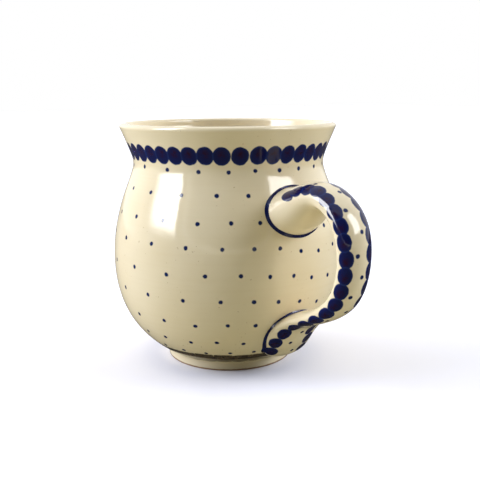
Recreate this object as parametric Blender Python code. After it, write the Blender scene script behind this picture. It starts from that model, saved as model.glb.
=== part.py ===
"""Stoneware mug: a round-bellied cup with a strap handle held on by two pads of slip.

Metres, +Z up.  The handle points along +X, and its hand-pressed roots lean a little to +Y.
The origin is under the middle of the whole mug, on the surface that the foot stands on.
Heights and radii below are in millimetres and are measured from the cup's own axis.
"""
import math

import bmesh
import bpy
from mathutils import Matrix, Vector

MM = 0.001

# Turned cup.
HEIGHT = 100.0
FOOT_RADIUS = 26.8
FOOT_RING_WIDTH = 4.2
FOOT_HEIGHT = 3.8
FOOT_RECESS = 2.4
FOOT_EDGE = 0.5
FOOT_RECESS_SLOPE = 0.7
FOOT_WAIST = 0.2
FOOT_WAIST_HEIGHT = 3.2
WALL = 4.2
LIP_THICKNESS = 3.4
FLOOR_HEIGHT = 7.6

# Outside of the cup: the places where its outline turns, as radius and height, and how far
# the curve is drawn out from each towards the next.
FOOT_TOP = (27.2, 4.0)
FOOT_PULL = (12.5, 7.0)
BELLY = (49.0, 44.0)
BELLY_PULL = (21.0, 22.0)
NECK = (39.8, 84.0)
NECK_PULL = (6.0, 2.0)
LIP = (45.0, 98.5)
LIP_PULL = (3.8, 9.0)

# Inside of the cup's floor and its rise into the wall, as radius and height.
FLOOR_CURVE = ((0.0, FLOOR_HEIGHT), (17.0, 8.0), (29.0, 11.6), (36.4, 17.2))

# Handle: stations along the strap, as distance from the cup's axis, height, shift to one
# side, half width and half thickness.  The strap starts inside the wall under the neck and
# ends as a flattened tongue that lies down the belly above the foot.
STRAP_STATIONS = (
    (40.0, 66.5, 1.0, 14.0, 10.0),
    (49.0, 70.0, 0.5, 11.5, 8.5),
    (60.0, 75.5, 0.0, 8.5, 5.0),
    (73.0, 69.0, 0.0, 7.5, 4.5),
    (77.0, 54.0, 0.0, 7.0, 4.5),
    (72.5, 40.0, 0.0, 7.0, 4.0),
    (58.5, 30.0, 0.0, 8.5, 3.0),
    (49.5, 26.0, 0.0, 10.0, 3.5),
    (43.0, 19.5, 0.0, 11.5, 4.5),
    (38.0, 13.0, 1.5, 10.5, 4.0),
)
TONGUE_END = (34.0, 9.5)
TONGUE_END_STEPS = 4
TONGUE_BLUNTNESS = 2.8

# Slip pads between the handle's two roots and the cup.
PAD_THICKNESS = 0.7
GAP = 0.3

# Fineness of the solids.
TURN_STEPS = 56
OUTER_RINGS = 24
INNER_RINGS = 20
CURVE_STEPS = 8
WALL_POINTS = 14
LIP_RINGS = 5
STRAP_STEPS_PER_STATION = 3
STRAP_SIDES = 20

CREAM = (0.78, 0.70, 0.50, 1.0)
SLIP = (0.55, 0.46, 0.32, 1.0)


def reach(station):
    return station[0] + station[4]


CUP_AXIS_X = -(max(reach(s) for s in STRAP_STATIONS) - BELLY[0]) / 2


def catmull_rom(points, steps):
    """Points along the smooth curve through points, with steps to each stretch."""
    first = tuple(2 * a - b for a, b in zip(points[0], points[1]))
    last = tuple(2 * a - b for a, b in zip(points[-1], points[-2]))
    padded = [first, *points, last]
    curve = []
    for p0, p1, p2, p3 in zip(padded, padded[1:], padded[2:], padded[3:]):
        for step in range(steps):
            t = step / steps
            curve.append(tuple(
                0.5 * (2 * b + (c - a) * t + (2 * a - 5 * b + 4 * c - d) * t ** 2
                       + (3 * b - a - 3 * c + d) * t ** 3)
                for a, b, c, d in zip(p0, p1, p2, p3)))
    curve.append(tuple(points[-1]))
    return curve


def resample(curve, count):
    """Count points at equal distances along a polyline."""
    lengths = [0.0]
    for start, end in zip(curve, curve[1:]):
        lengths.append(lengths[-1] + math.dist(start, end))
    points = []
    index = 0
    for number in range(count):
        target = lengths[-1] * number / (count - 1)
        while index < len(curve) - 2 and lengths[index + 1] < target:
            index += 1
        share = (target - lengths[index]) / (lengths[index + 1] - lengths[index])
        points.append(tuple(a + share * (b - a) for a, b in zip(curve[index], curve[index + 1])))
    return points


def bezier(start, leaving, arriving, end):
    """Points along the cubic curve from start to end, drawn towards two more points."""
    points = []
    for step in range(CURVE_STEPS + 1):
        t = step / CURVE_STEPS
        points.append(tuple(
            (1 - t) ** 3 * a + 3 * (1 - t) ** 2 * t * b + 3 * (1 - t) * t ** 2 * c + t ** 3 * d
            for a, b, c, d in zip(start, leaving, arriving, end)))
    return points


def outer_curve():
    """Outside of the cup from the foot up to the lip, in three stretches."""
    belly = bezier(
        FOOT_TOP, (FOOT_TOP[0] + FOOT_PULL[0], FOOT_TOP[1] + FOOT_PULL[1]),
        (BELLY[0], BELLY[1] - BELLY_PULL[0]), BELLY)
    shoulder = bezier(
        BELLY, (BELLY[0], BELLY[1] + BELLY_PULL[1]), (NECK[0], NECK[1] - NECK_PULL[0]), NECK)
    flare = bezier(
        NECK, (NECK[0], NECK[1] + NECK_PULL[1]), (LIP[0] - LIP_PULL[0], LIP[1] - LIP_PULL[1]), LIP)
    return belly + shoulder[1:] + flare[1:]


def offset(curve, distance):
    """Move a radius-and-height curve that runs upwards outwards by distance."""
    moved = []
    for index, (radius, height) in enumerate(curve):
        before = curve[max(index - 1, 0)]
        after = curve[min(index + 1, len(curve) - 1)]
        rise = after[1] - before[1]
        run = after[0] - before[0]
        length = math.hypot(rise, run)
        moved.append((radius + distance * rise / length, height - distance * run / length))
    return moved


def outer_wall():
    return resample(outer_curve(), OUTER_RINGS)


def foot_profile():
    """Recessed underside and foot ring, from the axis outwards and up."""
    ring_inside = FOOT_RADIUS - FOOT_RING_WIDTH
    return [
        (0.0, FOOT_RECESS),
        (ring_inside - FOOT_EDGE - FOOT_RECESS_SLOPE, FOOT_RECESS),
        (ring_inside - FOOT_EDGE, FOOT_EDGE),
        (ring_inside, 0.0),
        (FOOT_RADIUS - FOOT_EDGE, 0.0),
        (FOOT_RADIUS, FOOT_EDGE),
        (FOOT_RADIUS - FOOT_WAIST, FOOT_WAIST_HEIGHT),
        (FOOT_RADIUS, FOOT_HEIGHT),
    ]


def lip_profile():
    """Half-round lip from the outside over the crest to the inside."""
    centre = LIP[0] - LIP_THICKNESS / 2
    base = LIP[1]
    arc = []
    for step in range(1, LIP_RINGS + 1):
        angle = math.pi * step / (LIP_RINGS + 1)
        arc.append((centre + LIP_THICKNESS / 2 * math.cos(angle),
                    base + (HEIGHT - base) * math.sin(angle)))
    return arc


def inner_wall():
    """Inside of the cup from the lip down to the middle of the floor."""
    floor_top = FLOOR_CURVE[-1][1]
    wall = offset(resample(outer_curve(), WALL_POINTS), -WALL)
    wall = [point for point in wall if point[1] > floor_top + WALL][:-1]
    lip = (LIP[0] - LIP_THICKNESS, LIP[1])
    upwards = catmull_rom([*FLOOR_CURVE, *wall, lip], CURVE_STEPS)
    return list(reversed(resample(upwards, INNER_RINGS)))


def spin(name, profile):
    """Turn a closed or axis-to-axis profile of radius and height into a solid."""
    mesh = bmesh.new()
    verts = [mesh.verts.new(Vector((r * MM, 0.0, z * MM))) for r, z in profile]
    edges = [mesh.edges.new(pair) for pair in zip(verts, verts[1:])]
    bmesh.ops.rotate(mesh, verts=verts, cent=(0, 0, 0),
                     matrix=Matrix.Rotation(-math.pi / TURN_STEPS, 3, "Z"))
    bmesh.ops.spin(mesh, geom=verts + edges, cent=(0, 0, 0), axis=(0, 0, 1),
                   angle=math.tau, steps=TURN_STEPS, use_merge=True)
    bmesh.ops.remove_doubles(mesh, verts=mesh.verts, dist=1e-6)
    return finish_mesh(name, mesh)


def finish_mesh(name, mesh):
    """Close the edit mesh into a smooth-shaded object that stands on the cup's axis."""
    bmesh.ops.recalc_face_normals(mesh, faces=mesh.faces)
    data = bpy.data.meshes.new(name)
    mesh.to_mesh(data)
    mesh.free()
    data.shade_smooth()
    data.set_sharp_from_angle(angle=math.radians(40))
    thing = bpy.data.objects.new(name, data)
    thing.location.x = CUP_AXIS_X * MM
    bpy.context.scene.collection.objects.link(thing)
    return thing


def offset_cup(name, distance):
    """Solid cutter with the cup's outer shape, moved outwards by distance."""
    wall = offset(outer_wall(), distance)
    cutter = spin(name, [(0.0, wall[0][1]), *wall, (0.0, wall[-1][1])])
    cutter.hide_render = True
    cutter.display_type = "WIRE"
    return cutter


def strap_ring(mesh, before, station, after):
    """Oval section square to the strap's run."""
    radius, height, sideways, half_width, half_thickness = station
    run = Vector((after[0] - before[0], 0.0, after[1] - before[1])).normalized()
    outward = Vector((-run.z, 0.0, run.x))
    centre = Vector((radius, sideways, height))
    ring = []
    for side in range(STRAP_SIDES):
        angle = math.tau * side / STRAP_SIDES
        across = Vector((0.0, half_width * math.cos(angle), 0.0))
        up = outward * half_thickness * math.sin(angle)
        ring.append(mesh.verts.new((centre + across + up) * MM))
    return ring


def tongue_end(last):
    """Stations that round off the tongue below the last full one."""
    rounded = []
    for step in range(1, TONGUE_END_STEPS + 1):
        share = math.sin(math.pi / 2 * step / (TONGUE_END_STEPS + 1))
        shrink = (1 - share ** TONGUE_BLUNTNESS) ** (1 / TONGUE_BLUNTNESS)
        rounded.append((last[0] + share * (TONGUE_END[0] - last[0]),
                        last[1] + share * (TONGUE_END[1] - last[1]),
                        last[2], last[3] * shrink, last[4] * shrink))
    return rounded


def strap(name, stations):
    """Swept strap through the stations, closed at both ends."""
    mesh = bmesh.new()
    curve = catmull_rom(stations, STRAP_STEPS_PER_STATION)
    if stations[-1] == STRAP_STATIONS[-1]:
        curve += tongue_end(curve[-1])
    rings = []
    for index, station in enumerate(curve):
        before = curve[max(index - 1, 0)]
        after = curve[min(index + 1, len(curve) - 1)]
        rings.append(strap_ring(mesh, before, station, after))
    for lower, upper in zip(rings, rings[1:]):
        for side in range(STRAP_SIDES):
            following = (side + 1) % STRAP_SIDES
            mesh.faces.new((lower[side], lower[following], upper[following], upper[side]))
    mesh.faces.new(rings[0])
    mesh.faces.new(reversed(rings[-1]))
    return finish_mesh(name, mesh)


def add_boolean(thing, operation, cutter):
    boolean = thing.modifiers.new(operation.lower(), "BOOLEAN")
    boolean.operation = operation
    boolean.object = cutter
    boolean.solver = "EXACT"


def paint(thing, name, color, roughness):
    material = bpy.data.materials.new(name)
    material.use_nodes = True
    shader = material.node_tree.nodes["Principled BSDF"]
    shader.inputs["Base Color"].default_value = color
    shader.inputs["Roughness"].default_value = roughness
    shader.inputs["Metallic"].default_value = 0.0
    thing.data.materials.append(material)


def make_cup_body():
    """One turned wall: recessed foot ring, belly, neck, flared lip and inside."""
    profile = foot_profile() + outer_wall() + lip_profile() + inner_wall()
    cup = spin("cup_body", profile)
    paint(cup, "cream_glaze", CREAM, 0.12)


def make_handle():
    """Strap handle, cut to the belly's curve where it meets the two slip pads."""
    handle = strap("handle", STRAP_STATIONS)
    cutter = offset_cup("handle_root_cutter", 2 * GAP + PAD_THICKNESS)
    add_boolean(handle, "DIFFERENCE", cutter)
    paint(handle, "cream_glaze_handle", CREAM, 0.12)


def make_slip_pad(name, stations, outside, inside):
    """Thin pad of slip that follows the belly under one root of the handle."""
    pad = strap(name, stations)
    add_boolean(pad, "INTERSECT", outside)
    add_boolean(pad, "DIFFERENCE", inside)
    paint(pad, name, SLIP, 0.45)


def main():
    for thing in list(bpy.data.objects):
        bpy.data.objects.remove(thing, do_unlink=True)
    make_cup_body()
    make_handle()
    outside = offset_cup("pad_outside", GAP + PAD_THICKNESS)
    inside = offset_cup("pad_inside", GAP)
    make_slip_pad("upper_slip_joint", STRAP_STATIONS[:3], outside, inside)
    make_slip_pad("lower_slip_joint", STRAP_STATIONS[-4:], outside, inside)


main()
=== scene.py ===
"""Looks of a hand-stamped stoneware mug: glazed cup, strap handle and two slip seams.

The mug stands on the plane z = 0 with its handle along +X.  Lengths are in millimetres,
measured from the cup's own axis, and MM turns them into metres.  Bearings are counted in
degrees from the camera's side of the cup, growing towards the handle.
"""
import math
import random

import bpy
import numpy as np
from mathutils import Matrix, Vector, noise


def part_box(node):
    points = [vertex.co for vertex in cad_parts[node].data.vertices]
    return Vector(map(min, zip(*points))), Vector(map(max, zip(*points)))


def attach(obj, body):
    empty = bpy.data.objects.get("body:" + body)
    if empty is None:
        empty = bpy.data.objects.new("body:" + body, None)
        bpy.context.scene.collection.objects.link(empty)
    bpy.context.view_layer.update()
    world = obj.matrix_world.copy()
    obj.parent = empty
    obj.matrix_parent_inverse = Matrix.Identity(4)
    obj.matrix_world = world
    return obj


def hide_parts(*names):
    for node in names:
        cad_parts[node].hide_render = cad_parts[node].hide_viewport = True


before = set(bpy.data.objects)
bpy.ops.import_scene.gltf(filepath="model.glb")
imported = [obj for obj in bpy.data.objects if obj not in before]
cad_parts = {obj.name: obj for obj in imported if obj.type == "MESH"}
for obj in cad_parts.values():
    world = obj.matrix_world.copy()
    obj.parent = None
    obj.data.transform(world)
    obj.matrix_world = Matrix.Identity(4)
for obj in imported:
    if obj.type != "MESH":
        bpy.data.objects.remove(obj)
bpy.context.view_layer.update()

MM = 0.001
CUP_LOW, CUP_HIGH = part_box("cup_body")
CUP_AXIS_X = (CUP_LOW.x + CUP_HIGH.x) / 2 / MM
HEIGHT = CUP_HIGH.z / MM


def colour(red, green, blue):
    return (red, green, blue, 1.0)


# Camera, as seen from the cup: turned away from the handle, looking a little down.
HANDLE_TURN = math.radians(35.0)
CAMERA_DISTANCE = 304.3
CAMERA_HEIGHT = 112.4
CAMERA_SIDE = 4.79
CAMERA_PITCH = math.radians(11.70)
CAMERA_ROLL = math.radians(-0.34)
CAMERA_LENS = 53.8
SENSOR_WIDTH = 36.0
CLIP_START = 0.01

# Outside of the cup: the places where its outline turns, as radius and height, and how far
# the curve is drawn out from each towards the next.
FOOT_TOP = (27.2, 4.0)
FOOT_PULL = (12.5, 7.0)
BELLY = (49.0, 44.0)
BELLY_PULL = (21.0, 22.0)
NECK = (39.8, 84.0)
NECK_PULL = (6.0, 2.0)
LIP = (45.0, 98.5)
LIP_PULL = (3.8, 9.0)
OUTLINE_STEPS = 80
OUTLINE_SPACING = 0.25
OUTLINE_PASSES = 40
SLOPE_REACH = 0.4

# Foot ring: its inner edge as distance past the ring's inside and height, and its outer
# edge as distance past the foot's radius and height.
FOOT_RADIUS = 26.8
FOOT_HEIGHT = 3.8
FOOT_RECESS = 2.4
FOOT_RING_WIDTH = 4.2
RING_INNER_EDGE = ((-1.8, FOOT_RECESS), (-0.9, 1.9), (-0.3, 0.5), (0.4, 0.0))
RING_OUTER_EDGE = ((-0.55, 0.0), (-0.15, 0.15), (0.0, 0.6), (-0.1, 1.8), (-0.15, 2.8),
                   (-0.05, 3.4))
RING_FLAT_MARGIN = 0.9
RECESS_MARGIN = 2.0
FOOT_JOIN = (0.25, 0.2)

# Lip and inside of the cup: the floor as radius and height, and the heights between which
# the inside follows the outside.
WALL = 4.2
LIP_THICKNESS = 3.4
LIP_SQUARENESS = 0.85
LIP_EASE = 0.4
LIP_EASE_HEIGHT = 96.2
FLOOR_HEIGHT = 7.6
FLOOR_CURVE = ((0.0, FLOOR_HEIGHT), (8.0, FLOOR_HEIGHT), (16.0, 7.9), (24.0, 9.4), (31.0, 12.9),
               (36.0, 17.2))
INSIDE_HEIGHTS = (21.0, 91.0)
INSIDE_STRIDE = 24

# Fineness of the cup: rings of vertices lie these far apart along its outline.
RECESS_SPACING = 2.0
EDGE_SPACING = 0.35
FLAT_SPACING = 0.6
WALL_SPACING = 0.75
INSIDE_SPACING = 1.1
INNER_EDGE_STEPS = 60
OUTER_EDGE_STEPS = 90
INSIDE_STEPS = 500
LIP_STEPS = 16
TURN_STEPS = 252

# Departure of the hand-turned wall from a true circle: the waves' size, their length, and
# how much closer they lie upwards.
BROAD_WAVES = (0.20, 34.0, 0.7)
FINE_WAVES = (0.045, 11.0, 1.6)
FINE_SHIFT = 90
LEAST_WAVE_RADIUS = 12.0

# Handle: distance from the cup's axis, height, shift to one side, half width and half
# thickness.
STRAP_STATIONS = (
    (40.0, 66.5, 1.0, 14.0, 10.0),
    (49.0, 70.0, 0.5, 11.5, 8.5),
    (60.0, 75.5, 0.0, 8.5, 5.0),
    (73.0, 69.0, 0.0, 7.5, 4.5),
    (77.0, 54.0, 0.0, 7.0, 4.5),
    (72.5, 40.0, 0.0, 7.0, 4.0),
    (58.5, 30.0, 0.0, 8.5, 3.0),
    (49.5, 26.0, 0.0, 10.0, 3.5),
    (43.0, 19.5, 0.0, 11.5, 4.5),
    (38.0, 13.0, 1.5, 10.5, 4.0),
)
TONGUE_END = (34.0, 9.5)
TIP_BLUNTNESS = 2.8
ROOT_DEPTH = 1.2
CAP_DEPTH = 1.5 * ROOT_DEPTH

# Fineness of the handle.
TIP_STEPS = 40
SPINE_STEPS = 900
SPINE_SPACING = 0.15
SPINE_PASSES = 30
SPINE_REACH = 0.05
TURN_REACH = 0.01
SECTION_STEPS = 25
QUARTER_ANGLES = np.radians(np.arange(0.0, 91.0, 3.0))
STRAP_SIDES = 72
STRAP_RINGS = 240

# Slip seams.
SEAM_WIDTH = 0.95
SEAM_WAVES = (0.22, 7.0)
SEAM_HOLLOW = 0.30
SEAM_SUNK = 0.05
SEAM_UNDER = 0.5
SEAM_CORNER_UNDER = 0.45
SEAM_TRACE_STEPS = 720
SEAM_STEPS = 240
SEAM_FACE_STEPS = 9
SEAM_SIDES = SEAM_FACE_STEPS + 3
SEAM_PASSES = 3

# Part of the bake layout's height that each end cap takes.
BAKE_MARGIN = 0.01

# Discs round the neck and round the foot. Half sizes are across and along the outline; a
# reach is how far from a stamp's middle its UV island goes.
CUP_SEED = 11
DISC_COUNT = 42
DISC_HEIGHT = 89.2
DISC_HALF = (3.4, 3.75)
DISC_JITTER = (0.12, 0.004)
DISC_REACH = 5.6
FIRST_DISC = math.radians(7.0)
FIRST_DISC_GAP = math.radians(9.7)
FOOT_DISC_COUNT = 28
FOOT_DISC_HEIGHT = 6.6
FOOT_DISC_HALF = (3.75, 5.0)
FOOT_DISC_JITTER = 0.25
FOOT_DISC_REACH = 7.0
FOOT_STRIPE = (0.0, 5.4)

# Each row of dots: its height, the bearing of one dot from the camera's side in degrees,
# the spacing well away from the handle, and the seed of the row's unevenness.
DOT_ROWS = (
    (83.5, 1, 13.5, 1), (75.0, -5, 14.5, 2), (65.0, 2, 15.5, 3),
    (56.0, -2, 17.0, 4), (45.5, 6, 17.0, 5), (35.5, -3, 16.5, 6),
    (25.5, 0, 15.0, 7), (17.2, -6, 11.5, 8), (11.4, 1, 10.0, 9),
)
DOT_RADIUS = 0.84
DOT_REACH = 2.4
DOT_JITTER = 0.06
DOT_LIFT = 0.4
SEAM_CLEARANCE = 2.0
FAR_AWAY = 99.0

# A row goes back from its first dot by ROW_BACK, then on from the first until the closing
# gap. Its dots stand closest together round CLOSE_BEARING. Degrees, and spacing in mm.
ROW_BACK = 165
LOOK_BACK = 8
LOOK_AHEAD = 6
CLOSING_GAP = 0.6
CLOSE_SPACING = 9.4
CLOSE_BEARING = 31.0
CLOSE_WIDTH = 40.0

# Rows between these heights hang down beside the handle.
DROOP_HEIGHTS = (30, 70)
DROOP = 4.4
DROOP_BEARING = 50.0
DROOP_WIDTH = 20.0

# Beads along both edges of the strap. A row lies at its share of the way from the outer
# face's middle to the edge, less at two bends, whose places are shares of the strap's run.
HANDLE_SEED = 3
BEAD_COUNT = 19
BEAD_RUNS = (14.4, 111.7)
BEAD_HALF = (2.8, 3.45)
BEAD_JITTER = (0.3, 0.2)
BEAD_REACH = 5.4
BEAD_SPREAD = 1.12
NEAR_ROW = 0.74
FAR_ROW = 0.46
BENDS = ((0.18, 0.21), (0.15, 0.80))
BEND_WIDTH = 0.07
STRAP_DOT_RUNS = (15.5, 112.0, 6.85)
STRAP_DOT_SIDES = (0.0, -2.9)
STRAP_DOT_JITTER = 0.4

# Navy line round both roots: its height above the cup, more towards the tongue's tip.
LINE_ON_ROOT = 0.5
LINE_ON_TIP = 1.5
TIP_LENGTH = 7.0

# Colours of the glaze, the stamps and the bare clay.
CREAM = colour(0.755, 0.650, 0.410)
CREAM_WARM = colour(0.700, 0.575, 0.320)
NAVY = colour(0.006, 0.009, 0.055)
NAVY_RIM = colour(0.010, 0.022, 0.095)
MAROON = colour(0.022, 0.003, 0.014)
DOT_BLUE = colour(0.008, 0.018, 0.075)
BROWN = colour(0.055, 0.035, 0.018)
SPECK = colour(0.30, 0.17, 0.07)
CLAY = colour(0.47, 0.33, 0.205)
BURNT = colour(0.26, 0.135, 0.055)

# Surface. Scales of noise are per millimetre. A span is where a smooth step starts and ends.
GLAZE_IOR = 1.42
GLAZE_ROUGHNESS = (0.045, 0.085)
DULL_PATCH_SCALE = 0.12
DULL_PATCH_SPAN = (0.3, 0.7)
PEEL_SCALE = 0.55
PEEL_STRENGTH = 0.22
PEEL_DEPTH = 0.00012
DRIFT_SCALE = 0.028
DRIFT_SPAN = (0.35, 0.75)
DRIFT_SHARE = 0.45
TURNING_SCALE = (0.02, 0.02, 0.9)
TURNING_SPAN = (0.4, 0.8)
TURNING_SHARE = 0.35
SPECK_SCALE = 1.05
SPECK_SPAN = (0.735, 0.79)
SPECK_PATCH_SCALE = 0.07
SPECK_PATCH_SPAN = (0.46, 0.6)
SPECK_STRENGTH = 0.55
WOBBLE_SCALE = 0.55
CUP_WOBBLE = 0.55
HANDLE_WOBBLE = 0.5
DOT_SOFTNESS = 0.24
DISC_SOFTNESS = 0.055
DISC_RIM_SPAN = (0.72, 1.0)
BLOOM_HALF = 0.72
BLOOM_LIFT = 0.7
BLOOM_SPAN = (0.1, 1.0)
BLOOM_GRAIN_SCALE = 0.9
BLOOM_GRAIN_SPAN = (0.2, 0.75)
BAND_SOFTNESS = 0.05
BAND_SIDE_SOFTNESS = 0.3
STRIPE_SOFTNESS = (0.4, 0.5)
BAND_GRAIN_SCALE = 0.45
BAND_GRAIN_SPAN = (0.3, 0.75)
BAND_STRENGTH = 0.99
BAND_THINNING = 0.08
LINE_SCALE = 0.3
LINE_UNEVENNESS = 0.5
LINE_SPAN = (0.15, 0.35)
BRUSH_SCALE = 0.25
BRUSH_SPAN = (0.45, 0.8)

# Bare clay under the foot: heights at which it and its burnt edge end, and how ragged.
CLAY_SPAN = (0.5, 0.62)
BURNT_SPAN = (0.75, 1.25)
RAGGED_SCALE = 0.4
RAGGEDNESS = 0.5
CLAY_GRAIN_SCALE = 1.6
CLAY_GRAIN_SPAN = (0.3, 0.7)
CLAY_GRAIN_SHARE = 0.3
CLAY_ROUGHNESS = colour(0.8, 0.8, 0.8)

# Brightness of each part of the light tent: as it lights the mug, and as the glaze
# mirrors it. Spans and windows are bearings and elevations in degrees; a window is two
# bearings, two elevations, the softness of its four edges, and how far its sides bow.
LIT_BY = {
    "front": colour(0.02, 0.018, 0.010),
    "rim": colour(0.04, 0.035, 0.02),
    "tent": colour(0.04, 0.035, 0.02),
    "side": colour(3.6, 3.8, 4.9),
    "back": colour(1.4, 1.4, 1.5),
    "top": colour(0.5, 0.5, 0.45),
    "left box": colour(10.0, 10.6, 13.6),
    "right box": colour(9.0, 9.5, 11.8),
    "left span": (76, 106),
    "right span": (82, 110),
    "back span": (120, 145),
    "left window": ((-106, -64), (0, 50), (16, 14, 4, 12), 0.0),
    "right window": ((58, 102), (16, 46), (12, 14, 6, 10), 0.0),
}
MIRRORED = {
    "front": colour(0.03, 0.026, 0.02),
    "rim": colour(2.0, 1.95, 1.8),
    "tent": colour(0.2, 0.18, 0.15),
    "side": colour(1.0, 1.0, 1.0),
    "back": colour(1.0, 1.0, 1.0),
    "top": colour(0.9, 0.9, 0.85),
    "left box": colour(25.0, 25.0, 25.0),
    "right box": colour(16.0, 16.0, 16.0),
    "left span": (70, 110),
    "right span": (70, 110),
    "back span": (128, 150),
    "left window": ((-96, -54.5), (5, 55), (18, 4, 14, 5), 5.0),
    "right window": ((50, 92), (17, 55), (4, 14, 6, 5), -6.0),
}
TOP_SPAN = (45, 60)

# Rounded opening of the tent in front of the cup, with a thin bright rim.
OPENING_HALF = (math.radians(48), math.radians(27))
OPENING_MIDDLE = math.radians(30)
OPENING_POWER = 3.0
FRONT_TO_RIM = (0.8, 0.9)
RIM_TO_TENT = (0.95, 1.1)

# Table: as it lights the mug, as the glaze mirrors it, and as the camera sees it.
TABLE_LIT_BY = colour(0.52, 0.495, 0.36)
TABLE_MIRRORED = colour(0.07, 0.065, 0.05)
TABLE_SEEN = colour(0.90, 0.885, 0.84)
TABLE_REACH = 4.0


# ------------------------------------ curves

def arc_lengths(points):
    """Distance of each point from the first, along the line."""
    steps = np.linalg.norm(np.diff(points, axis=0), axis=1)
    return np.concatenate([[0.0], np.cumsum(steps)])


def spline(points, count):
    """Count points on the natural cubic spline through points, evenly spaced."""
    knots = np.array(points, float)
    at = arc_lengths(knots[:, :2])
    steps = np.diff(at)
    size = len(knots)
    matrix = np.eye(size)
    right = np.zeros_like(knots)
    for i in range(1, size - 1):
        matrix[i, i - 1:i + 2] = steps[i - 1], 2 * (steps[i - 1] + steps[i]), steps[i]
        right[i] = 6 * ((knots[i + 1] - knots[i]) / steps[i]
                        - (knots[i] - knots[i - 1]) / steps[i - 1])
    bend = np.linalg.solve(matrix, right)
    where = np.linspace(0.0, at[-1], count)
    index = np.clip(np.searchsorted(at, where) - 1, 0, size - 2)
    step = steps[index][:, None]
    low = (at[index + 1] - where)[:, None]
    high = (where - at[index])[:, None]
    return (bend[index] * low ** 3 / (6 * step) + bend[index + 1] * high ** 3 / (6 * step)
            + (knots[index] / step - bend[index] * step / 6) * low
            + (knots[index + 1] / step - bend[index + 1] * step / 6) * high)


def evenly(points, spacing):
    """The polyline resampled at about the spacing, ends kept."""
    points = np.array(points, float)
    along = arc_lengths(points[:, :2])
    count = max(2, int(round(along[-1] / spacing)) + 1)
    where = np.linspace(0, along[-1], count)
    return np.stack([np.interp(where, along, column) for column in points.T], 1)


def smoothed(points, passes):
    """The polyline with small kinks rubbed out, ends kept."""
    points = np.array(points, float)
    for _ in range(passes):
        points[1:-1] = (points[:-2] + 2 * points[1:-1] + points[2:]) / 4
    return points


def offset(curve, distance):
    """Move an upward radius-and-height curve outwards by distance."""
    slope = np.gradient(curve, axis=0)
    slope /= np.linalg.norm(slope, axis=1)[:, None]
    return curve + distance * np.stack([slope[:, 1], -slope[:, 0]], 1)


def wrapped(angle):
    """Angle brought between minus and plus half a turn."""
    return (np.asarray(angle) + math.pi) % math.tau - math.pi


def bezier(start, leaving, arriving, end):
    """Points along the cubic curve from start to end, drawn towards two more points."""
    share = np.linspace(0, 1, OUTLINE_STEPS)[:, None]
    rest = 1 - share
    return (rest ** 3 * np.array(start) + 3 * rest ** 2 * share * np.array(leaving)
            + 3 * rest * share ** 2 * np.array(arriving) + share ** 3 * np.array(end))


def outer_curve():
    """Outside of the cup from the foot up to the lip, in three stretches."""
    belly = bezier(FOOT_TOP, np.add(FOOT_TOP, FOOT_PULL), np.add(BELLY, (0, -BELLY_PULL[0])),
                   BELLY)
    shoulder = bezier(BELLY, np.add(BELLY, (0, BELLY_PULL[1])),
                      np.add(NECK, (0, -NECK_PULL[0])), NECK)
    flare = bezier(NECK, np.add(NECK, (0, NECK_PULL[1])), np.subtract(LIP, LIP_PULL), LIP)
    return np.concatenate([belly, shoulder[1:], flare[1:]])


OUTER_WALL = smoothed(evenly(outer_curve(), OUTLINE_SPACING), OUTLINE_PASSES)


def outer_radius(height):
    """Radius of the cup's outer surface at a height."""
    return np.interp(height, OUTER_WALL[:, 1], OUTER_WALL[:, 0])


def outer_slope(height):
    """Change of that radius with height."""
    rise = outer_radius(height + SLOPE_REACH) - outer_radius(height - SLOPE_REACH)
    return rise / (2 * SLOPE_REACH)


def above_cup(points):
    """Distance of points outside the cup's outer surface; negative inside it."""
    height = points[..., 2]
    away = np.hypot(points[..., 0], points[..., 1]) - outer_radius(height)
    return away / np.sqrt(1 + outer_slope(height) ** 2)


def unit(vectors):
    """The vectors at length 1."""
    return vectors / np.linalg.norm(vectors, axis=-1)[..., None]


# ------------------------------------ meshes

def grid_mesh(name, points, caps=()):
    """Object from rows of points in mm, each row a closed ring; caps close the ends."""
    rows, columns = points.shape[:2]
    places = points.reshape(-1, 3) * MM
    places[:, 0] += CUP_AXIS_X * MM
    verts = [tuple(p) for p in places]
    faces = []
    last = rows - 1 if len(caps) else rows
    for row in range(last):
        here = row * columns
        there = (row + 1) % rows * columns
        for column in range(columns):
            beside = (column + 1) % columns
            faces.append((here + column, here + beside, there + beside, there + column))
    for row, order, cap in zip((0, rows - 1), (-1, 1), caps):
        centre = len(verts)
        verts.append((cap[0] * MM + CUP_AXIS_X * MM, cap[1] * MM, cap[2] * MM))
        for column in range(columns):
            pair = (row * columns + column, row * columns + (column + 1) % columns)
            faces.append((*pair[::order], centre))
    data = bpy.data.meshes.new(name)
    data.from_pydata(verts, [], faces)
    data.update()
    data.shade_smooth()
    thing = bpy.data.objects.new(name, data)
    bpy.context.scene.collection.objects.link(thing)
    return thing


def corner_verts(thing):
    """Vertex index of every face corner, and the face that each corner belongs to."""
    data = thing.data
    index = np.empty(len(data.loops), np.int32)
    data.loops.foreach_get("vertex_index", index)
    sizes = np.empty(len(data.polygons), np.int32)
    data.polygons.foreach_get("loop_total", sizes)
    return index, np.repeat(np.arange(len(sizes)), sizes)


def set_uv(thing, name, values):
    """New UV layer of a mesh from a pair of values for each face corner."""
    layer = thing.data.uv_layers.new(name=name)
    layer.data.foreach_set("uv", np.ascontiguousarray(values, np.float32).ravel())


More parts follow.
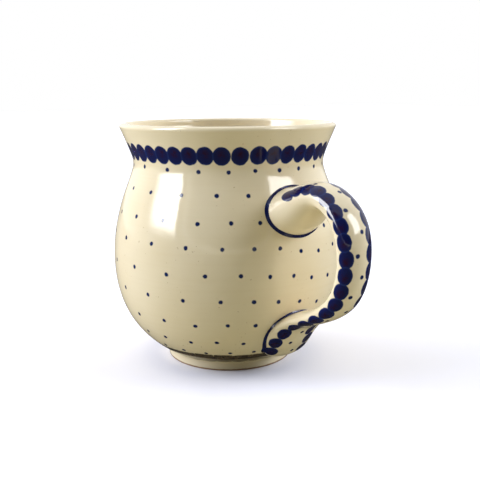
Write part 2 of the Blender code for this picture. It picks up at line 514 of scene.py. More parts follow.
def stamp_layer(thing, name, grid, along, across, scale, marks, reach):
    """UV layer in which each mark has its own origin, in mm along the surface.

    grid is the rows and columns of the mesh's quads.  along and across are each vertex's
    surface places, across being an angle when scale is given as the radius to apply to it.
    A face further than reach from every mark gets a place far away from any of them.
    """
    rows, columns = grid
    count = rows * columns
    corner, face = corner_verts(thing)
    quads = corner[:count * 4].reshape(-1, 4)
    first = across[quads[:, 0]]
    turn = wrapped if scale is not None else np.asarray
    middle_across = first + turn(across[quads] - first[:, None]).mean(axis=1)
    middle_along = along[quads].mean(axis=1)
    middle_scale = scale[quads].mean(axis=1) if scale is not None else 1.0
    spread = np.ptp(turn(across[quads] - first[:, None]), axis=1) * middle_scale
    chosen = np.full(len(thing.data.polygons), -1)
    nearest = np.where(spread > reach, 0.0, reach)
    for number, (mark_along, mark_across) in enumerate(marks):
        distance = np.hypot(middle_along - mark_along,
                            turn(middle_across - mark_across) * middle_scale)
        closer = distance < nearest
        nearest[closer] = distance[closer]
        chosen[:count][closer] = number
    marks = np.array([*marks, (0.0, 0.0)])
    mark = marks[chosen[face]]
    unit_scale = scale[corner] if scale is not None else 1.0
    values = np.stack([turn(across[corner] - mark[:, 1]) * unit_scale,
                       along[corner] - mark[:, 0]], 1)
    values[chosen[face] < 0] = FAR_AWAY
    set_uv(thing, name, values)


# ------------------------------------ cup

def cup_profile():
    """Radius and height round the whole wall, from under the middle to the inside middle."""
    inside_foot = FOOT_RADIUS - FOOT_RING_WIDTH
    under = evenly([(0.0, FOOT_RECESS), (inside_foot - RECESS_MARGIN, FOOT_RECESS)],
                   RECESS_SPACING)
    ring = evenly(spline([(inside_foot + past, height) for past, height in RING_INNER_EDGE],
                         INNER_EDGE_STEPS), EDGE_SPACING)
    flat = evenly([(inside_foot + RING_FLAT_MARGIN, 0.0), (FOOT_RADIUS - RING_FLAT_MARGIN, 0.0)],
                  FLAT_SPACING)
    outer_edge = [(FOOT_RADIUS + past, height) for past, height in RING_OUTER_EDGE]
    side = evenly(spline([*outer_edge, OUTER_WALL[0] - FOOT_JOIN], OUTER_EDGE_STEPS),
                  EDGE_SPACING)
    wall = evenly(OUTER_WALL, WALL_SPACING)
    half_lip = LIP_THICKNESS / 2
    centre, base = OUTER_WALL[-1] - (half_lip, 0.0)
    lip = []
    for step in range(1, LIP_STEPS):
        angle = math.pi * step / LIP_STEPS
        lip.append((centre + half_lip * math.cos(angle),
                    base + (HEIGHT - base) * math.sin(angle) ** LIP_SQUARENESS))
    inner = offset(OUTER_WALL, -WALL)
    low, high = INSIDE_HEIGHTS
    inner = inner[(inner[:, 1] > low) & (inner[:, 1] < high)]
    inside = spline([*FLOOR_CURVE, *inner[::INSIDE_STRIDE],
                     (centre - half_lip - LIP_EASE, LIP_EASE_HEIGHT), (centre - half_lip, base)],
                    INSIDE_STEPS)
    inside = evenly(inside, INSIDE_SPACING)[::-1][1:]
    profile = np.concatenate([under, ring, flat, side, wall, lip, inside])
    return profile[1:-1]


def waves(x, y, z, size, length, closer):
    """Smooth random height in mm, about size high, with waves of a length."""
    return size * noise.noise(Vector((x, y, z * closer)) / length)


def unevenness(x, y, z):
    """Slight departure of a hand-turned wall from a true circle, in mm."""
    return waves(x, y, z, *BROAD_WAVES) + waves(x + FINE_SHIFT, y, z, *FINE_WAVES)


def make_cup():
    """The turned cup, with the angle, run and radius of each vertex for the stamps."""
    profile = cup_profile()
    turns = np.arange(TURN_STEPS) * math.tau / TURN_STEPS
    shape = (len(profile), TURN_STEPS)
    radii = np.broadcast_to(profile[:, :1], shape)
    heights = np.broadcast_to(profile[:, 1:], shape)
    points = np.stack([radii * np.cos(turns), radii * np.sin(turns), heights], 2)
    for row in points:
        if row[0, 2] < FOOT_HEIGHT:
            continue
        for point in row:
            radius = math.hypot(point[0], point[1])
            point[:2] *= 1 + unevenness(*point) / max(radius, LEAST_WAVE_RADIUS)
    cup = grid_mesh("glazed_cup", points, caps=[(0, 0, FOOT_RECESS), (0, 0, FLOOR_HEIGHT)])
    along = np.append(np.repeat(arc_lengths(profile), TURN_STEPS), (0.0, 0.0))
    across = np.append(np.tile(turns, len(profile)), (0.0, 0.0))
    around = np.append(radii.ravel(), (1.0, 1.0))
    return cup, profile, along, across, around


def run_at(profile, height):
    """Distance along the profile at which the outer wall reaches a height."""
    outer = int(np.argmax(profile[:, 0] > FOOT_RADIUS + 0.5))
    crest = int(np.argmax(profile[:, 1]))
    return float(np.interp(height, profile[outer:crest, 1], arc_lengths(profile)[outer:crest]))


def neck_discs():
    """Angles of the discs round the neck; the closing one has looser gaps beside it."""
    pitch = (math.tau - 2 * FIRST_DISC_GAP) / (DISC_COUNT - 2)
    first = FIRST_DISC - HANDLE_TURN
    return [first] + [first + FIRST_DISC_GAP + pitch * i for i in range(DISC_COUNT - 1)]


def shaken(jitter, value, most):
    """The value moved by up to most either way."""
    return value + jitter.uniform(-most, most)


def decorate_cup(cup, profile, along, across, around, seams):
    """UV layers of the neck discs, the foot band and the dots."""
    jitter = random.Random(CUP_SEED)
    neck = run_at(profile, DISC_HEIGHT)
    foot = run_at(profile, FOOT_DISC_HEIGHT)
    discs = [(shaken(jitter, neck, DISC_JITTER[0]), shaken(jitter, angle, DISC_JITTER[1]))
             for angle in neck_discs()]
    band = [(shaken(jitter, foot, FOOT_DISC_JITTER), math.tau * i / FOOT_DISC_COUNT)
            for i in range(FOOT_DISC_COUNT)]
    surface = ((len(profile) - 1, TURN_STEPS), along, across, around)
    for half in (0, 1):
        stamp_layer(cup, f"discs_{half}", *surface, discs[half::2], DISC_REACH)
        stamp_layer(cup, f"foot_discs_{half}", *surface, band[half::2], FOOT_DISC_REACH)
    stamp_layer(cup, "dots", *surface, dot_marks(profile, seams), DOT_REACH)


def dot_gap(bearing, height, wide):
    """Angle between dots in a row; they stand closer together near the handle."""
    away = (bearing - CLOSE_BEARING) / CLOSE_WIDTH
    spacing = wide - (wide - CLOSE_SPACING) * math.exp(-away * away)
    return math.degrees(spacing / float(outer_radius(height)))


def dot_row(height, first, wide, seed):
    """Bearings and heights of one row of dots, walked both ways round from the first."""
    jitter = random.Random(seed)
    bearings = [first]
    bearing = first
    while bearing > first - ROW_BACK:
        gap = dot_gap(bearing - LOOK_BACK, height, wide)
        bearing -= gap * jitter.uniform(1 - DOT_JITTER, 1 + DOT_JITTER)
        bearings.append(bearing)
    end = bearing + 360 - CLOSING_GAP * gap
    bearing = first
    while bearing < end - gap:
        ahead = dot_gap(bearing + LOOK_AHEAD, height, wide)
        bearing += ahead * jitter.uniform(1 - DOT_JITTER, 1 + DOT_JITTER)
        bearings.append(bearing)
    low, high = DROOP_HEIGHTS
    row = []
    for bearing in bearings:
        near = (bearing - DROOP_BEARING) / DROOP_WIDTH
        droop = DROOP * math.exp(-near * near) if low < height < high else 0.0
        row.append((bearing, shaken(jitter, height - droop, DOT_LIFT)))
    return row


def dot_marks(profile, seams):
    """Run and angle of every dot on the cup that isn't under or beside a handle root."""
    marks = []
    for row in DOT_ROWS:
        for bearing, place in dot_row(*row):
            angle = math.radians(bearing) - HANDLE_TURN
            radius = float(outer_radius(place))
            point = np.array([radius * math.cos(angle), radius * math.sin(angle), place])
            if all(clear_of(point, seam) for seam in seams):
                marks.append((run_at(profile, place), angle))
    return marks


def clear_of(point, seam):
    """True if a point on the cup lies well outside a root's seam."""
    distances = np.linalg.norm(seam - point, axis=1)
    if distances.min() < SEAM_CLEARANCE:
        return False
    centre = seam.mean(axis=0)
    nearest = seam[distances.argmin()]
    return np.linalg.norm(point - centre) > np.linalg.norm(nearest - centre)


# ------------------------------------ handle

class Strap:
    """The handle's swept surface: run x along the spine, angle t round the section.

    At t = 0 a point is on the strap's near edge, at a quarter turn on its outer face.
    """

    def __init__(self):
        body = spline(STRAP_STATIONS, SPINE_STEPS)
        end = body[-1]
        tip = []
        for step in range(1, TIP_STEPS + 1):
            share = math.sin(math.pi / 2 * step / (TIP_STEPS + 0.5))
            shrink = (1 - share ** TIP_BLUNTNESS) ** (1 / TIP_BLUNTNESS)
            place = end[:2] + share * (np.array(TONGUE_END) - end[:2])
            tip.append((*place, end[2], end[3] * shrink, end[4] * shrink))
        line = evenly(np.concatenate([body, tip]), SPINE_SPACING)
        line = smoothed(line, SPINE_PASSES)
        self.run = arc_lengths(line[:, :2])
        self.line = line
        slope = unit(np.gradient(line[:, :2], axis=0))
        self.outward = np.stack([-slope[:, 1], slope[:, 0]], 1)
        self.middle = self.run[-1] * 0.5

    def at(self, x, t):
        """Points at run x and angle t; the two arrays have the same shape."""
        radius, height, sideways, half_width, half_thick = (
            np.interp(x, self.run, column) for column in self.line.T)
        out_r, out_z = (np.interp(x, self.run, column) for column in self.outward.T)
        length = np.hypot(out_r, out_z)
        across = sideways - half_width * np.cos(t)
        up = half_thick * np.sin(t)
        return np.stack([radius + up * out_r / length, across, height + up * out_z / length], -1)

    def normal(self, x, t):
        """Outward surface normals at run x and angle t."""
        by_run = self.at(x + SPINE_REACH, t) - self.at(x - SPINE_REACH, t)
        by_turn = self.at(x, t + TURN_REACH) - self.at(x, t - TURN_REACH)
        return unit(np.cross(by_run, by_turn))

    def crossing(self, t, depth, lower):
        """Run at which the line at angle t sinks to a depth inside the cup's wall."""
        beyond = self.run >= self.middle
        runs = self.run[beyond] if lower else self.run[~beyond][::-1]
        height = above_cup(self.at(runs, np.full(len(runs), t))) + depth
        first = int(np.argmax(height < 0))
        if height[first] >= 0:
            return float(runs[-1])
        share = height[first - 1] / (height[first - 1] - height[first])
        return float(runs[first - 1] + share * (runs[first] - runs[first - 1]))


def from_middle(strap, x, t):
    """Length round the section from the outer face's middle, negative on the near side."""
    share = np.linspace(0.0, 1.0, SECTION_STEPS)
    turn = t - math.pi / 2
    angles = math.pi / 2 + turn[..., None] * share
    points = strap.at(np.broadcast_to(x[..., None], angles.shape), angles)
    steps = np.linalg.norm(np.diff(points, axis=-2), axis=-1).sum(axis=-1)
    return steps * np.sign(turn)


def bead_row(strap, side, ratio):
    """A bead row's distance from the outer face's middle and its own length, at each run.

    side is -1 for the near edge and 1 for the far one.
    """
    x = strap.run
    quarter = from_middle(strap, x, np.full(len(x), math.pi if side > 0 else 0.0))
    dip = 1.0
    for depth, share in BENDS:
        dip = dip - depth * np.exp(-((x / x[-1] - share) / BEND_WIDTH) ** 2)
    place = quarter * ratio * dip
    angles = math.pi / 2 + side * QUARTER_ANGLES
    table = from_middle(strap, np.repeat(x[:, None], len(angles), 1),
                        np.repeat(angles[None], len(x), 0))
    turn = np.array([np.interp(abs(p), abs(row), angles) for p, row in zip(place, table)])
    return place, arc_lengths(strap.at(x, turn))


def make_handle(strap):
    """Strap handle whose two ends follow the cup's surface a little inside its wall."""
    angles = math.radians(270) - np.arange(STRAP_SIDES) * math.tau / STRAP_SIDES
    starts = np.array([strap.crossing(t, ROOT_DEPTH, False) for t in angles])
    stops = np.array([strap.crossing(t, ROOT_DEPTH, True) for t in angles])
    share = np.linspace(0, 1, STRAP_RINGS)[:, None]
    runs = starts + (stops - starts) * share
    turned = np.broadcast_to(angles, runs.shape)
    points = strap.at(runs, turned)
    caps = [sunk(points[0].mean(axis=0)), sunk(points[-1].mean(axis=0))]
    handle = grid_mesh("strap_handle", points, caps=caps)
    x = np.append(runs.ravel(), (0.0, 0.0))
    t = np.append(turned.ravel(), (0.0, 0.0))
    return handle, x, t


def sunk(point):
    """A root's middle, moved so that it lies just under the cup's surface."""
    angle = math.atan2(point[1], point[0])
    radius = outer_radius(point[2]) - CAP_DEPTH
    return (radius * math.cos(angle), radius * math.sin(angle), point[2])


def bead_marks(jitter, strap, place, length):
    """Middles of one row's beads, as length along the row and distance across the strap."""
    first, last = np.interp(BEAD_RUNS, strap.run, length)
    marks = []
    for share in np.linspace(0, 1, BEAD_COUNT) ** BEAD_SPREAD:
        along = first + (last - first) * share
        across = np.interp(along, length, place)
        marks.append((shaken(jitter, along, BEAD_JITTER[0]),
                      shaken(jitter, across, BEAD_JITTER[1])))
    return marks


def decorate_handle(handle, strap, x, t):
    """UV layers of the beads on both edges, the dots between them and the roots' line."""
    grid = (STRAP_RINGS - 1, STRAP_SIDES)
    across = from_middle(strap, x, t)
    jitter = random.Random(HANDLE_SEED)
    for name, side, ratio in (("near", -1, NEAR_ROW), ("far", 1, FAR_ROW)):
        place, length = bead_row(strap, side, ratio)
        along = np.interp(x, strap.run, length)
        marks = bead_marks(jitter, strap, place, length)
        for half in (0, 1):
            stamp_layer(handle, f"{name}_beads_{half}", grid, along, across, None,
                        marks[half::2], BEAD_REACH)
    middle = arc_lengths(strap.at(strap.run, np.full(len(strap.run), math.pi / 2)))
    along = np.interp(x, strap.run, middle)
    marks = []
    for number, run in enumerate(np.arange(*STRAP_DOT_RUNS)):
        sideways = shaken(jitter, STRAP_DOT_SIDES[number % 2], STRAP_DOT_JITTER)
        marks.append((float(np.interp(run, strap.run, middle)), sideways))
    stamp_layer(handle, "strap_dots", grid, along, across, None, marks, DOT_REACH)
    near_tip = np.clip((x - strap.run[-1] + TIP_LENGTH) / TIP_LENGTH, 0, 1)
    line_height = LINE_ON_ROOT + (LINE_ON_TIP - LINE_ON_ROOT) * near_tip
    height = above_cup(strap.at(x, t)) - line_height
    corner, _ = corner_verts(handle)
    set_uv(handle, "root_line", np.stack([height, 0 * height], 1)[corner])


# ------------------------------------ slip seams

def seam_line(strap, lower):
    """Closed line where the handle's surface meets the cup, with both surfaces' normals."""
    t = np.arange(SEAM_TRACE_STEPS) * math.tau / SEAM_TRACE_STEPS
    x = np.array([strap.crossing(angle, 0.0, lower) for angle in t])
    points = strap.at(x, t)
    normals = strap.normal(x, t)
    table = np.concatenate([points, normals], 1)
    table = np.concatenate([table, table[:1]])
    along = arc_lengths(table[:, :3])
    where = np.arange(SEAM_STEPS) * along[-1] / SEAM_STEPS
    table = np.stack([np.interp(where, along, column) for column in table.T], 1)
    for _ in range(SEAM_PASSES):
        table = (np.roll(table, 1, 0) + 2 * table + np.roll(table, -1, 0)) / 4
    points, handle_normal = table[:, :3], unit(table[:, 3:])
    angle = np.arctan2(points[:, 1], points[:, 0])
    cup_normal = unit(np.stack([np.cos(angle), np.sin(angle), -outer_slope(points[:, 2])], 1))
    return points, handle_normal, cup_normal


def make_seam(name, points, handle_normal, cup_normal):
    """Ring of slip that fills the corner between the cup and one root of the handle."""
    tangent = unit(np.roll(points, -1, 0) - np.roll(points, 1, 0))
    on_cup = np.cross(tangent, cup_normal)
    on_cup *= np.sign(((points - points.mean(axis=0)) * on_cup).sum(axis=1))[:, None]
    on_handle = np.cross(tangent, handle_normal)
    on_handle *= np.sign((on_handle * cup_normal).sum(axis=1))[:, None]
    depth, length = SEAM_WAVES
    widths = np.array([SEAM_WIDTH * (1 + depth * noise.noise(Vector(p) / length))
                       for p in points])[:, None]
    cup_edge = points + widths * on_cup - SEAM_SUNK * cup_normal
    handle_edge = points + widths * on_handle - SEAM_SUNK * handle_normal
    corner = points + SEAM_HOLLOW * widths * (on_cup + on_handle)
    rows = []
    for share in np.linspace(0, 1, SEAM_FACE_STEPS):
        rows.append((1 - share) ** 2 * cup_edge + 2 * share * (1 - share) * corner
                    + share ** 2 * handle_edge)
    rows.append(handle_edge - SEAM_UNDER * handle_normal)
    rows.append(points - SEAM_CORNER_UNDER * cup_normal - SEAM_CORNER_UNDER * handle_normal)
    rows.append(cup_edge - SEAM_UNDER * cup_normal)
    return grid_mesh(name, np.stack(rows, 1))


# ------------------------------------ bake layout

def bake_layout(thing, rows, columns, places, capped):
    """UV layer OFBake: once round a section along U, and from end to end along V."""
    quads = np.empty((rows, columns, 4, 2))
    left = np.arange(columns) / columns
    quads[:, :, (0, 3), 0] = left[None, :, None]
    quads[:, :, (1, 2), 0] = (left + 1 / columns)[None, :, None]
    quads[:, :, (0, 1), 1] = places[:-1, None, None]
    quads[:, :, (2, 3), 1] = places[1:, None, None]
    values = [quads.reshape(-1, 2)]
    if capped:
        for end, turned in ((0.0, True), (1.0, False)):
            fan = np.empty((columns, 3, 2))
            fan[:, 0, 0] = left + (1 / columns if turned else 0.0)
            fan[:, 1, 0] = left + (0.0 if turned else 1 / columns)
            fan[:, 2, 0] = left + 0.5 / columns
            fan[:, :2, 1] = places[0] if turned else places[-1]
            fan[:, 2, 1] = end
            values.append(fan.reshape(-1, 2))
    set_uv(thing, "OFBake", np.concatenate(values))


def shares(lengths):
    """Lengths along a mesh brought to the part of V between its two caps."""
    return BAKE_MARGIN + (1 - 2 * BAKE_MARGIN) * lengths / lengths[-1]


# ------------------------------------ materials

class Graph:
    """Short-hand for adding linked nodes to a material or a world."""

    def __init__(self, owner):
        owner.use_nodes = True
        self.tree = owner.node_tree
        self.tree.nodes.clear()

    def add(self, kind, *values, **settings):
        """New node of a kind, with its settings and the values of its first inputs."""
        node = self.tree.nodes.new("ShaderNode" + kind)
        for name, value in settings.items():
            setattr(node, name, value)
        for socket, value in zip(node.inputs, values):
            self.put(socket, value)
        return node

    def put(self, socket, value):
        """Link a socket to another node's output, or set it to a constant."""
        if isinstance(value, bpy.types.NodeSocket):
            self.tree.links.new(value, socket)
        elif value is not None:
            socket.default_value = value

    def math(self, operation, *values):
        return self.add("Math", *values, operation=operation).outputs[0]

    def vector(self, operation, *values):
        node = self.add("VectorMath", *values, operation=operation)
        return node.outputs["Value" if operation == "LENGTH" else "Vector"]

    def scaled(self, vector, scale):
        node = self.add("VectorMath", vector, operation="SCALE")
        self.put(node.inputs["Scale"], scale)
        return node.outputs["Vector"]

    def ramp(self, value, low, high):
        """Smooth step from 0 at low to 1 at high."""
        node = self.add("MapRange", value, low, high, 0.0, 1.0)
        node.interpolation_type = "SMOOTHSTEP"
        return node.outputs[0]

    def fall(self, value, low, high):
        """Smooth step from 1 at low to 0 at high."""
        return self.math("SUBTRACT", 1.0, self.ramp(value, low, high))

    def mix(self, factor, first, second):
        """Blend from the first colour to the second."""
        node = self.add("Mix", data_type="RGBA")
        self.put(node.inputs[0], factor)
        self.put(node.inputs[6], first)
        self.put(node.inputs[7], second)
        return node.outputs[2]

    def noise(self, place, scale, detail=2.0):
        node = self.add("TexNoise")
        self.put(node.inputs["Vector"], place)
        node.inputs["Scale"].default_value = scale
        node.inputs["Detail"].default_value = detail
        return node

    def place(self):
        """Place on the object in millimetres."""
        return self.scaled(self.add("TexCoord").outputs["Object"], 1 / MM)


def cream_colour(graph, place):
    """Cream glaze, a little warmer in drifts, with faint turning lines and iron specks."""
    drift = graph.noise(place, DRIFT_SCALE, 3.0).outputs[0]
    lines = graph.noise(graph.vector("MULTIPLY", place, TURNING_SCALE), 1.0, 3.0).outputs[0]
    warmth = graph.math("ADD", graph.ramp(drift, *DRIFT_SPAN),
                        graph.math("MULTIPLY", graph.ramp(lines, *TURNING_SPAN), TURNING_SHARE))
    glaze = graph.mix(graph.math("MULTIPLY", warmth, DRIFT_SHARE), CREAM, CREAM_WARM)
    specks = graph.noise(place, SPECK_SCALE, 1.0).outputs[0]
    patch = graph.noise(place, SPECK_PATCH_SCALE, 1.0).outputs[0]
    sparse = graph.math("MULTIPLY", graph.ramp(specks, *SPECK_SPAN),
                        graph.ramp(patch, *SPECK_PATCH_SPAN))
    return graph.mix(graph.math("MULTIPLY", sparse, SPECK_STRENGTH), glaze, SPECK)


def wobble(graph, place, amount):
    """Small sideways shift in millimetres that makes a stamped edge uneven."""
    cloud = graph.noise(place, WOBBLE_SCALE).outputs["Color"]
    return graph.scaled(graph.vector("SUBTRACT", cloud, (0.5, 0.5, 0.5)), amount)


def stamped(graph, layer, half, shift, soft):
    """Place on the nearest stamp of a layer, its distance out, 1 at the rim, and a mask."""
    local = graph.add("UVMap", uv_map=layer).outputs[0]
    moved = graph.vector("ADD", local, shift)
    share = graph.vector("LENGTH", graph.vector("DIVIDE", moved, (*half, 1.0)))
    return moved, share, graph.fall(share, 1.0 - soft, 1.0 + soft)


def band_paint(graph, under, layer, shift, place):
    """Brown discs of the foot band, joined along their upper halves and thin in places."""
    moved, _, mask = stamped(graph, layer, FOOT_DISC_HALF, shift, BAND_SOFTNESS)
    axes = graph.add("SeparateXYZ", moved).outputs
    low, high = FOOT_STRIPE
    soft_low, soft_high = STRIPE_SOFTNESS
    stripe = graph.math("MULTIPLY", graph.ramp(axes[1], low, low + soft_low),
                        graph.fall(axes[1], high, high + soft_high))
    half_width = FOOT_DISC_HALF[0]
    near = graph.fall(graph.math("ABSOLUTE", axes[0]), half_width,
                      half_width + BAND_SIDE_SOFTNESS)
    mask = graph.math("MAXIMUM", mask, graph.math("MULTIPLY", stripe, near))
    grain = graph.ramp(graph.noise(place, BAND_GRAIN_SCALE, 3.0).outputs[0], *BAND_GRAIN_SPAN)
    strength = graph.math("SUBTRACT", BAND_STRENGTH,
                          graph.math("MULTIPLY", grain, BAND_THINNING))
    return graph.mix(graph.math("MULTIPLY", mask, strength), under, BROWN)


def disc_paint(graph, under, layer, half, shift, place):
    """Sponge-stamped discs over a colour: navy, with a maroon bloom above the middle."""
    moved, share, mask = stamped(graph, layer, half, shift, DISC_SOFTNESS)
    bloom_place = graph.vector("DIVIDE", graph.vector("SUBTRACT", moved, (0.0, BLOOM_LIFT, 0.0)),
                               (half[0] * BLOOM_HALF, half[1] * BLOOM_HALF, 1.0))
    bloom = graph.fall(graph.vector("LENGTH", bloom_place), *BLOOM_SPAN)
    grain = graph.noise(place, BLOOM_GRAIN_SCALE, 3.0).outputs[0]
    bloom = graph.math("MULTIPLY", bloom, graph.ramp(grain, *BLOOM_GRAIN_SPAN))
    paint = graph.mix(bloom, NAVY, MAROON)
    paint = graph.mix(graph.ramp(share, *DISC_RIM_SPAN), paint, NAVY_RIM)
    return graph.mix(mask, under, paint)


def dot_paint(graph, under, layer, shift):
    """Small brush-handle dots, softer towards their rims."""
    _, _, mask = stamped(graph, layer, (DOT_RADIUS, DOT_RADIUS), shift, DOT_SOFTNESS)
    return graph.mix(mask, under, DOT_BLUE)


def gloss(graph, place):
    """Roughness of the glaze, with faint dull patches."""
    patches = graph.noise(place, DULL_PATCH_SCALE, 3.0).outputs[0]
    return graph.add("MapRange", patches, *DULL_PATCH_SPAN, *GLAZE_ROUGHNESS).outputs[0]


def glazed(graph, base, place, roughness):
    """Finish a material as a clear glossy glaze with a very slight orange peel."""
    shader = graph.add("BsdfPrincipled")
    graph.put(shader.inputs["Base Color"], base)
    graph.put(shader.inputs["Roughness"], roughness)
    shader.inputs["IOR"].default_value = GLAZE_IOR
    peel = graph.noise(place, PEEL_SCALE).outputs[0]
    bump = graph.add("Bump")
    bump.inputs["Strength"].default_value = PEEL_STRENGTH
    bump.inputs["Distance"].default_value = PEEL_DEPTH
    graph.put(bump.inputs["Height"], peel)
    graph.put(shader.inputs["Normal"], bump.outputs[0])
    graph.add("OutputMaterial", shader.outputs[0])


def cup_material():
    """Cream glaze with its stamps, ending ragged and burnt at the bare clay under the foot."""
    material = bpy.data.materials.new("cream_glazed_stoneware")
    graph = Graph(material)
    place = graph.place()
    height = graph.add("SeparateXYZ", place).outputs[2]
    base = cream_colour(graph, place)
    shift = wobble(graph, place, CUP_WOBBLE)
    base = dot_paint(graph, base, "dots", shift)
    for half in (0, 1):
        base = disc_paint(graph, base, f"discs_{half}", DISC_HALF, shift, place)
        base = band_paint(graph, base, f"foot_discs_{half}", shift, place)
    lift = graph.math("MULTIPLY", graph.noise(place, RAGGED_SCALE, 3.0).outputs[0], RAGGEDNESS)
    ragged = graph.math("ADD", height, lift)
    base = graph.mix(graph.fall(ragged, *BURNT_SPAN), base, BURNT)
    bare = graph.fall(ragged, *CLAY_SPAN)
    grain = graph.noise(place, CLAY_GRAIN_SCALE, 5.0).outputs[0]
    clay = graph.mix(graph.ramp(grain, *CLAY_GRAIN_SPAN), CLAY, BURNT)
    base = graph.mix(bare, base, graph.mix(CLAY_GRAIN_SHARE, CLAY, clay))
    roughness = graph.mix(bare, gloss(graph, place), CLAY_ROUGHNESS)
    glazed(graph, base, place, roughness)
    return material


def handle_material():
    """Cream glaze with the strap's beads and dots and the navy line round both roots."""
    material = bpy.data.materials.new("cream_glazed_handle")
    graph = Graph(material)
    place = graph.place()
    base = cream_colour(graph, place)
    shift = wobble(graph, place, HANDLE_WOBBLE)
    base = dot_paint(graph, base, "strap_dots", shift)
    for side in ("near", "far"):
        for half in (0, 1):
            base = disc_paint(graph, base, f"{side}_beads_{half}", BEAD_HALF, shift, place)
    layer = graph.add("UVMap", uv_map="root_line").outputs[0]
    above_line = graph.add("SeparateXYZ", layer).outputs[0]
    uneven = graph.math("MULTIPLY", graph.noise(place, LINE_SCALE).outputs[0], LINE_UNEVENNESS)
    line = graph.fall(graph.math("ADD", above_line, uneven), *LINE_SPAN)
    base = graph.mix(line, base, NAVY)
    glazed(graph, base, place, gloss(graph, place))
    return material


def seam_material():
    """Slip seam under a navy brush line that thins out in places."""
    material = bpy.data.materials.new("navy_brushed_slip")
    graph = Graph(material)
    place = graph.place()
    thin = graph.noise(place, BRUSH_SCALE).outputs[0]
    base = graph.mix(graph.ramp(thin, *BRUSH_SPAN), NAVY, NAVY_RIM)
    glazed(graph, base, place, gloss(graph, place))
    return material


def floor_material():
    """White table; the mug is lit and mirrored by duller shades of it than the camera sees."""
    material = bpy.data.materials.new("white_table")
    graph = Graph(material)
    rays = graph.add("LightPath").outputs
    shade = graph.mix(rays["Is Camera Ray"], TABLE_LIT_BY, TABLE_SEEN)
    shade = graph.mix(rays["Is Glossy Ray"], shade, TABLE_MIRRORED)
    surface = graph.add("BsdfDiffuse", shade)
    graph.add("OutputMaterial", surface.outputs[0])
    return material


# ------------------------------------ studio

def box_mask(graph, az, el, az_range, el_range, soft, bow):
    """Soft-edged window of directions whose sides bow; all in degrees."""
    low, high, down, up = (math.radians(a) for a in (*az_range, *el_range))
    soft = [math.radians(a) for a in soft]
    off = graph.math("DIVIDE", graph.math("SUBTRACT", el, (down + up) / 2), (up - down) / 2)
    az = graph.math("SUBTRACT", az, graph.math(
        "MULTIPLY", graph.math("MULTIPLY", off, off), math.radians(bow)))
    sides = graph.math("MULTIPLY", graph.ramp(az, low, low + soft[0]),
                       graph.fall(az, high - soft[1], high))
    ends = graph.math("MULTIPLY", graph.ramp(el, down, down + soft[2]),
                      graph.fall(el, up - soft[3], up))
    return graph.math("MULTIPLY", sides, ends)


def light_tent(graph, az, el, lights):
    """Bright sides, back and top, two soft boxes, and a dim opening in front of the cup."""
    beside = graph.math("ABSOLUTE", az)
    above = graph.math("ABSOLUTE", graph.math("SUBTRACT", el, OPENING_MIDDLE))
    wide, tall = (graph.math("POWER", graph.math("DIVIDE", away, half), OPENING_POWER)
                  for away, half in zip((beside, above), OPENING_HALF))
    edge = graph.math("ADD", wide, tall)
    light = graph.mix(graph.ramp(edge, *FRONT_TO_RIM), lights["front"], lights["rim"])
    light = graph.mix(graph.ramp(edge, *RIM_TO_TENT), light, lights["tent"])
    to_left = graph.math("MULTIPLY", az, -1.0)
    for angle, span, part in ((to_left, lights["left span"], "side"),
                              (az, lights["right span"], "side"),
                              (beside, lights["back span"], "back"),
                              (el, TOP_SPAN, "top")):
        reached = graph.ramp(angle, *(math.radians(a) for a in span))
        light = graph.mix(reached, light, lights[part])
    for side in ("left", "right"):
        window = box_mask(graph, az, el, *lights[f"{side} window"])
        light = graph.mix(window, light, lights[f"{side} box"])
    return light


def make_world():
    """World of the light tent, whose directions are counted from the camera's side."""
    world = bpy.data.worlds.new("light_tent")
    bpy.context.scene.world = world
    graph = Graph(world)
    turned = graph.add("VectorRotate", rotation_type="Z_AXIS")
    graph.put(turned.inputs["Vector"], graph.add("TexCoord").outputs["Generated"])
    turned.inputs["Angle"].default_value = HANDLE_TURN - math.pi / 2
    axes = graph.add("SeparateXYZ", turned.outputs[0]).outputs
    az = graph.math("ARCTAN2", axes[0], graph.math("MULTIPLY", axes[1], -1.0))
    el = graph.math("ARCSINE", axes[2])
    rays = graph.add("LightPath").outputs
    light = graph.mix(rays["Is Glossy Ray"], light_tent(graph, az, el, LIT_BY),
                      light_tent(graph, az, el, MIRRORED))
    light = graph.mix(rays["Is Camera Ray"], light, colour(1.0, 1.0, 1.0))
    background = graph.add("Background", light, 1.0)
    graph.add("OutputWorld", background.outputs[0])


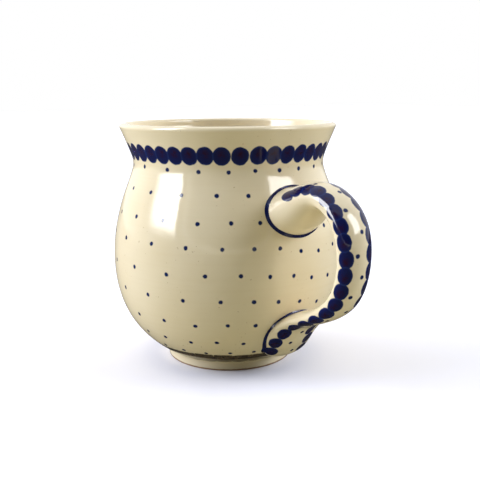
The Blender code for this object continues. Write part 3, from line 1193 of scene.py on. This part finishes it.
def make_floor():
    """Plain white table, staged so that it is no part of the mug."""
    data = bpy.data.meshes.new("floor")
    corners = [(x * TABLE_REACH, y * TABLE_REACH, 0)
               for x, y in ((-1, -1), (1, -1), (1, 1), (-1, 1))]
    data.from_pydata(corners, [], [(0, 1, 2, 3)])
    floor = bpy.data.objects.new("floor", data)
    bpy.context.scene.collection.objects.link(floor)
    data.materials.append(floor_material())


def make_camera():
    """Camera a little above the lip, with the handle turned away to the right."""
    data = bpy.data.cameras.new("camera")
    data.lens = CAMERA_LENS
    data.sensor_width = SENSOR_WIDTH
    data.clip_start = CLIP_START
    camera = bpy.data.objects.new("camera", data)
    turn = Matrix.Rotation(math.pi / 2 - HANDLE_TURN, 4, "Z")
    place = turn @ Vector((CAMERA_SIDE, -CAMERA_DISTANCE, CAMERA_HEIGHT))
    place.x += CUP_AXIS_X
    aim = (Matrix.Rotation(math.pi / 2 - CAMERA_PITCH, 4, "X")
           @ Matrix.Rotation(CAMERA_ROLL, 4, "Z"))
    camera.matrix_world = Matrix.Translation(place * MM) @ turn @ aim
    bpy.context.scene.collection.objects.link(camera)
    bpy.context.scene.camera = camera


def finish_piece(piece, material, node):
    """Give a piece its material, hang it from the root body and hide the CAD node it stands for.
    """
    piece.data.materials.append(material)
    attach(piece, "root")
    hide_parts(node)


def build():
    """Make the four pieces, each with its UV layers, material and CAD node."""
    strap = Strap()
    upper = seam_line(strap, False)
    lower = seam_line(strap, True)
    cup, profile, along, across, around = make_cup()
    decorate_cup(cup, profile, along, across, around, (upper[0], lower[0]))
    bake_layout(cup, len(profile) - 1, TURN_STEPS, shares(arc_lengths(profile)), True)
    finish_piece(cup, cup_material(), "cup_body")

    handle, x, t = make_handle(strap)
    decorate_handle(handle, strap, x, t)
    bake_layout(handle, STRAP_RINGS - 1, STRAP_SIDES, shares(np.arange(float(STRAP_RINGS))), True)
    finish_piece(handle, handle_material(), "handle")

    brushed = seam_material()
    for name, node, line in (("upper_slip_seam", "upper_slip_joint", upper),
                             ("lower_slip_seam", "lower_slip_joint", lower)):
        seam = make_seam(name, *line)
        bake_layout(seam, SEAM_STEPS, SEAM_SIDES, np.arange(SEAM_STEPS + 1) / SEAM_STEPS, False)
        finish_piece(seam, brushed, node)


build()
make_floor()
make_world()
make_camera()
bpy.context.scene.view_settings.view_transform = "Standard"
